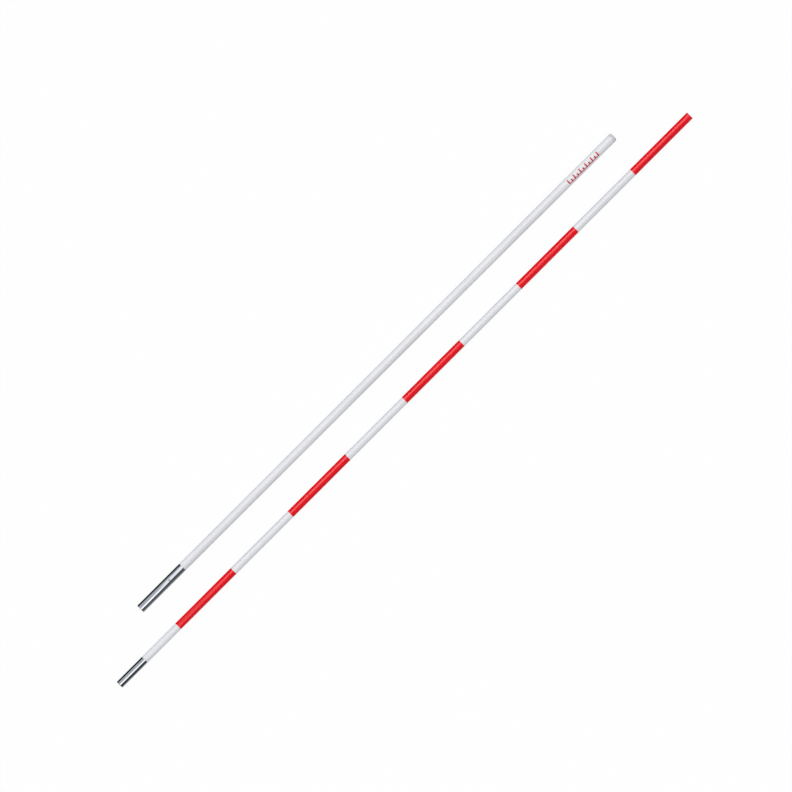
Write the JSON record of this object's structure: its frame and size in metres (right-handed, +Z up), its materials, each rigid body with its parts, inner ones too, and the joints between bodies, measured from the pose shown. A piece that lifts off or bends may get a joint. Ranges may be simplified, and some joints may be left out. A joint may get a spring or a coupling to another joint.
{
  "type": "volleyball net antenna",
  "caption": "Net antenna in two rods laid side by side: a white lower rod with a metal socket, and a striped upper rod whose metal spigot plugs into it.",
  "frame": {"origin": "on the floor, under the middle of the box round the two sections as they lie side by side", "axes": "+X along both sections, from the metal ferrules towards the far ends; +Y from the striped section towards the white one; +Z up from the floor"},
  "size_m": [1, 0.059, 0.0114],
  "materials": {
    "white_cover": "extruded white vinyl, satin gloss",
    "white_fibre": "white gel-coated glass fibre, satin gloss",
    "bare_fibre": "bare pultruded glass fibre",
    "chrome": "bright chrome plate on drawn brass",
    "pin_steel": "oiled spring steel",
    "stop_plastic": "moulded black nylon",
    "cap_plastic": "moulded light grey plastic",
    "red_film": "self-adhesive red film, gloss",
    "red_plastic": "moulded red plastic"
  },
  "bodies": {
    "lower_section": {"lower_rod": "bare_fibre", "lower_cover": "white_cover", "socket_ferrule": "chrome", "socket_stop": "stop_plastic", "socket_pin": "pin_steel", "end_cap": "cap_plastic"},
    "upper_section": {"upper_rod": "white_fibre", "spigot_ferrule": "chrome", "spigot_dowel": "bare_fibre", "red_band_1": "red_film", "red_band_2": "red_film", "red_band_3": "red_film", "red_band_4": "red_film", "red_band_5": "red_film", "tip_plug": "red_plastic"}
  },
  "joints": [
    {"name": "swing_into_line", "type": "hinge", "parent": "lower_section", "child": "upper_section", "pos_m": [-0.458, -0.0003, 0.0051], "axis": [0, 0, -1], "range_deg": [0, 180]}
  ]
}
